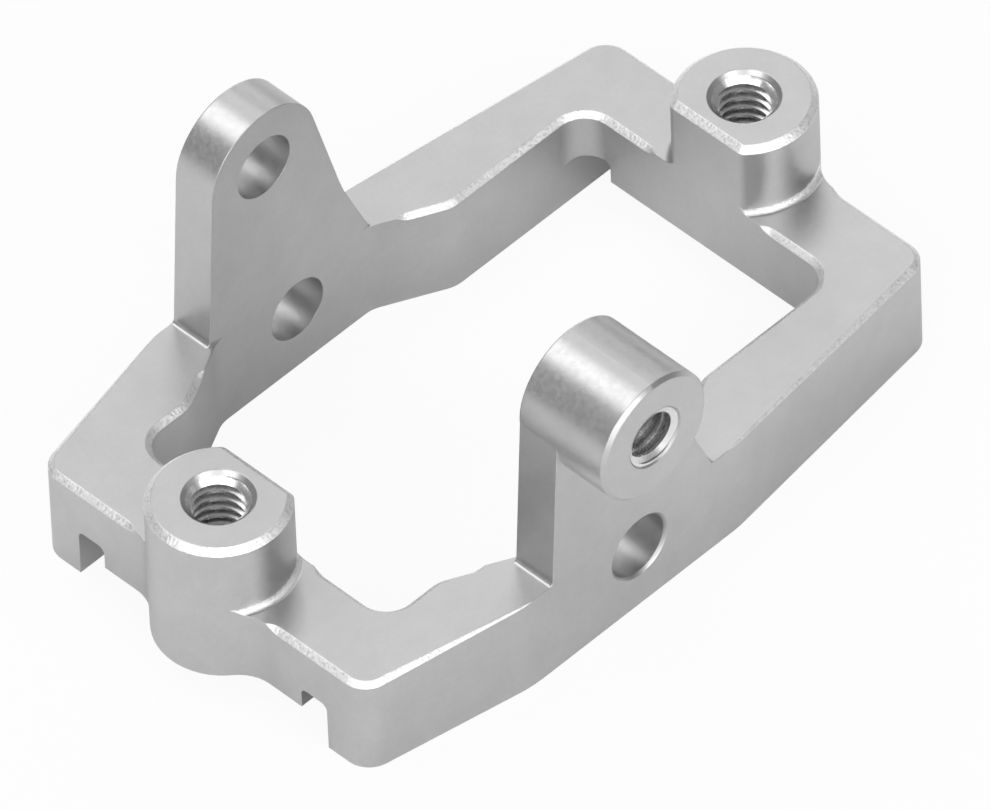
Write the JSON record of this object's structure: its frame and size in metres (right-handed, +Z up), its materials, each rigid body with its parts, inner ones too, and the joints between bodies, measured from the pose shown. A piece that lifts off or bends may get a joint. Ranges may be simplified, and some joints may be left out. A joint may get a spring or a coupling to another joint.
{
  "type": "servo bracket",
  "caption": "Milled metal bracket: an open frame that a small servo drops into, with screw bosses at its ends and upright ears that carry it on a pivot.",
  "frame": {"origin": "midway between the two servo screw holes, level with the bosses' top faces where the servo's lugs seat", "axes": "+X along the servo body, away from the ears' end; +Y across it, towards the plain ear; +Z up, out of the screw holes"},
  "size_m": [0.0336, 0.0222, 0.0146],
  "materials": {
    "bare_metal": "satin, fine blasted"
  },
  "bodies": {
    "root": {"servo_bracket": "bare_metal"}
  },
  "joints": []
}
